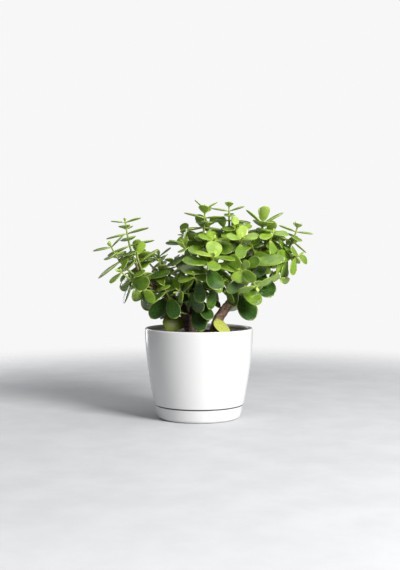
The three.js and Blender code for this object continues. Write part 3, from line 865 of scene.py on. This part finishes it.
def refined(profile):
    """The outline with its gentle bends turned into curves and its corners slightly rounded."""
    points = [Vector(p) for p in profile]
    turns = [0.0]
    for a, b, c in zip(points, points[1:], points[2:]):
        turns.append((b - a).angle(c - b, 0.0))
    turns.append(0.0)
    fine = [points[0]]
    for i in range(1, len(points)):
        a, b = points[i - 1], points[i]
        sharp_a, sharp_b = turns[i - 1] > SHARP_TURN, turns[i] > SHARP_TURN
        span = (b - a).length
        if span < 4 * CORNER_BEVEL:
            fine.append(b)
            continue
        before = points[i - 2] if i > 1 and not sharp_a else a * 2 - b
        after = points[i + 1] if i + 1 < len(points) and not sharp_b else b * 2 - a
        steps = 1 if fits_another(points, a, b) else CURVE_STEPS
        for k in range(1, steps + 1):
            t = k / steps
            if k == steps and sharp_b:
                continue
            m_a, m_b = (b - before) / 2, (after - a) / 2
            m_a = m_a.normalized() * span if m_a.length else b - a
            m_b = m_b.normalized() * span if m_b.length else b - a
            h = t * t
            from_a = a * (1 - 3 * h + 2 * h * t) + m_a * (t - 2 * h + h * t)
            fine.append(from_a + b * (3 * h - 2 * h * t) + m_b * (h * t - h))
        if sharp_b and i + 1 < len(points):
            onward = (points[i + 1] - b).normalized()
            back = (a - b).normalized()
            fine.append(b + back * CORNER_BEVEL)
            fine.append(b + (back + onward) * (CORNER_BEVEL * 0.29))
            fine.append(b + onward * CORNER_BEVEL)
    return fine


def lathe(name, replaced, material):
    profile = refined(half_profile(replaced))
    build = Build()
    inner = profile[1:-1]
    verts = []
    for point in inner:
        for k in range(LATHE_SIDES):
            verts.append(polar(point.x, 2 * math.pi * k / LATHE_SIDES, point.y))
    verts += [Vector((0, 0, profile[0].y)), Vector((0, 0, profile[-1].y))]
    build.add(verts, tube_faces(len(inner), LATHE_SIDES))
    piece = build.make(name, [material], [replaced])
    bm = bmesh.new()
    bm.from_mesh(piece.data)
    bmesh.ops.recalc_face_normals(bm, faces=bm.faces)
    bm.to_mesh(piece.data)
    bm.free()


lathe("pot_look", "pot", plastic_material("pot_plastic"))
lathe("saucer_look", "saucer", plastic_material("saucer_plastic"))


# ---------------------------------------------------------------- soil
SURFACE_DEPTH = 20 * MM  # the soil's surface lies within this of its highest point
SEARCH_STEP, SEARCH_REACH = 3 * MM, 40 * MM  # how the surface is carried over a gap
SOIL_RINGS, SOIL_SIDES = 46, 150
SOIL_SIDE_TOP = soil_top - 25 * MM
CRUMBS = 3600
PERLITE_TRIES = 520


def soil_surface():
    """A function of x and y for the height of the CAD soil, carried over the gaps round the stems."""
    bm = welded("soil")
    tree = BVHTree.FromBMesh(bm)
    bm.free()
    known = {}

    def cast(x, y):
        hit = tree.ray_cast(Vector((x, y, soil_top + 10 * MM)), Vector((0, 0, -1)))[0]
        return hit.z if hit and hit.z > soil_top - SURFACE_DEPTH else None

    def height(x, y):
        key = (round(x, 4), round(y, 4))
        if key not in known:
            value = cast(x, y)
            step = SEARCH_STEP
            while value is None and step < SEARCH_REACH:
                near = [cast(x + step * math.cos(a), y + step * math.sin(a)) for a in range(0, 6)]
                near = [z for z in near if z is not None]
                value = sum(near) / len(near) if near else None
                step += SEARCH_STEP
            known[key] = value if value is not None else soil_top - 12 * MM
        return known[key]

    return height


height_at = soil_surface()
soil_edge = min(
    v.co.xy.length
    for v in nodes["soil"].data.vertices
    if v.co.z > soil_top - SURFACE_DEPTH and v.co.xy.length > OUTER_PART
)


def ground(x, y):
    """The uneven surface of the soil."""
    distance = math.hypot(x, y)
    base = height_at(x, y)
    point = Vector((x, y, 0.3))
    rough = 1.3 * noise.fractal(point * 70, 0.7, 2.1, 5) + 0.8 * noise.noise(point * 260)
    rim = -1.5 * smoothstep(soil_edge - 7 * MM, soil_edge, distance)
    return base + (rough + rim) * MM


def make_soil():
    build = Build()
    angles = [2 * math.pi * i / SOIL_SIDES for i in range(SOIL_SIDES)]
    verts, dryness = [], []
    for k in range(SOIL_RINGS, 0, -1):
        radius = soil_edge * k / SOIL_RINGS
        for angle in angles:
            x, y = radius * math.cos(angle), radius * math.sin(angle)
            verts.append(Vector((x, y, ground(x, y))))
            # Paler towards +x: painted light on the side that the key lamp lights.
            wander = 0.02 * noise.noise(Vector((x, y, 0)) * 40)
            dryness.append(0.15 + 0.75 * smoothstep(-0.01, 0.07, x + wander))
    side = [p for p in half_profile("soil") if p[1] < SOIL_SIDE_TOP and p[0] > 20 * MM]
    side.sort(key=lambda p: (round(p[1], 5), p[0]))
    ring_rows = []
    for radius, height in side:
        ring_rows += [polar(radius, angle, height) for angle in angles]
    verts = ring_rows + verts
    dryness = [0.1] * len(ring_rows) + dryness
    verts += [Vector((0, 0, side[0][1])), Vector((0, 0, ground(0, 0)))]
    dryness += [0.1, 0.3]
    build.add(verts, tube_faces(SOIL_RINGS + len(side), SOIL_SIDES), dryness=dryness)
    build.make("soil_look", [soil_material()], ["soil"])


def lump(centre, size, flat):
    """A small irregular pebble of twelve corners."""
    bm = bmesh.new()
    bmesh.ops.create_icosphere(bm, subdivisions=1, radius=1.0)
    angle = rng.uniform(0, 6.28)
    turn = Matrix.Rotation(angle, 3, Vector((rng.random(), rng.random(), rng.random() + 0.1)))
    stretch = Vector((size * rng.uniform(0.7, 1.3), size * rng.uniform(0.6, 1.1), size * flat))
    verts = []
    for vert in bm.verts:
        point = vert.co * rng.uniform(0.75, 1.2)
        point = turn @ Vector((point.x * stretch.x, point.y * stretch.y, point.z * stretch.z))
        verts.append(centre + point)
    faces = [tuple(v.index for v in face.verts) for face in bm.faces]
    bm.free()
    return verts, faces


def scatter(name, count, sizes, flat, material, place):
    """Lumps over the soil. `place` gives the chance, 0 to 1, that a lump at x and y is kept."""
    build = Build()
    for _ in range(count):
        radius = soil_edge * 0.975 * math.sqrt(rng.random())
        angle = rng.uniform(0, 2 * math.pi)
        x, y = radius * math.cos(angle), radius * math.sin(angle)
        keep = place(x, y)
        roll = rng.random()
        size = lerp(sizes[0], sizes[1], rng.random() ** 2.2) * MM
        tone = rng.uniform(0.0, 1.0)
        if roll > keep:
            continue
        verts, faces = lump(Vector((x, y, ground(x, y) + size * 0.15)), size, flat)
        build.add(verts, faces, tone=tone)
    build.make(name, [material], [])


make_soil()


def less_to_the_right(x, y):
    return 0.75 - 0.35 * smoothstep(0, 0.06, x)


scatter("soil_crumbs", CRUMBS, (0.5, 1.9), 0.6, crumb_material(), lambda x, y: 1.0)
scatter("soil_perlite", PERLITE_TRIES, (0.5, 1.6), 0.75, perlite_material(), less_to_the_right)


# ---------------------------------------------------------------- floor and light
FLOOR_RADIUS = 1.9
FLOOR_SIDES = 96
FLOOR_FADE = (0.55, 1.2)  # the floor fades into the background between these distances


def make_floor():
    verts = [tuple(polar(FLOOR_RADIUS, 2 * math.pi * i / FLOOR_SIDES)) for i in range(FLOOR_SIDES)]
    mesh = bpy.data.meshes.new("floor")
    mesh.from_pydata(verts, [], [tuple(range(FLOOR_SIDES))])
    shader = Shader("floor", Specular_IOR_Level=0.2)
    grey = shader.noise(14, 6, None, 0.6)
    shader.colour(shader.mix(shader.remap(grey, 0.3, 0.7), (0.6, 0.605, 0.62), (0.65, 0.655, 0.67)))
    shader.bsdf.inputs["Roughness"].default_value = 0.65
    tree = shader.tree
    clear = shader.node("ShaderNodeBsdfTransparent")
    blend = shader.node("ShaderNodeMixShader")
    length = shader.node("ShaderNodeVectorMath", operation="LENGTH")
    tree.links.new(shader.coordinates, length.inputs[0])
    tree.links.new(shader.remap(length.outputs["Value"], *FLOOR_FADE), blend.inputs[0])
    tree.links.new(shader.bsdf.outputs[0], blend.inputs[1])
    tree.links.new(clear.outputs[0], blend.inputs[2])
    tree.links.new(blend.outputs[0], tree.nodes["Material Output"].inputs["Surface"])
    mesh.materials.append(shader.material)
    floor = bpy.data.objects.new("floor", mesh)
    scene.collection.objects.link(floor)


def area_light(name, *, location, target, size, watts, colour=(1, 1, 1)):
    data = bpy.data.lights.new(name, "AREA")
    data.shape = "RECTANGLE"
    data.size, data.size_y = size
    data.energy = watts
    data.color = colour
    light = bpy.data.objects.new(name, data)
    light.location = location
    light.visible_camera = False
    light.rotation_euler = (Vector(target) - Vector(location)).to_track_quat("-Z", "Y").to_euler()
    scene.collection.objects.link(light)


make_floor()
area_light(
    "key",
    location=(1.5, -1.62, 1.4),
    target=(0, 0, 0.2),
    size=(0.9, 1.0),
    watts=90,
    colour=(1, 0.995, 0.98),
)
area_light("top_fill", location=(0.3, 0.1, 2.2), target=(0, 0, 0.2), size=(1.6, 1.6), watts=12)
area_light(
    "back_left",
    location=(-0.9, 1.3, 0.4),
    target=(0, 0, 0.15),
    size=(0.4, 1.0),
    watts=5,
    colour=(0.95, 0.97, 1),
)

world = bpy.data.worlds.new("studio")
scene.world = world
world.use_nodes = True
tree = world.node_tree
background = tree.nodes["Background"]
background.inputs["Color"].default_value = (0.93, 0.95, 0.98, 1)
background.inputs["Strength"].default_value = 0.18
seen = tree.nodes.new("ShaderNodeBackground")
seen.inputs["Color"].default_value = (0.93, 0.93, 0.935, 1)
seen.inputs["Strength"].default_value = 1.0
path = tree.nodes.new("ShaderNodeLightPath")
blend = tree.nodes.new("ShaderNodeMixShader")
tree.links.new(path.outputs["Is Camera Ray"], blend.inputs[0])
tree.links.new(background.outputs[0], blend.inputs[1])
tree.links.new(seen.outputs[0], blend.inputs[2])
tree.links.new(blend.outputs[0], tree.nodes["World Output"].inputs["Surface"])

bpy.context.view_layer.update()
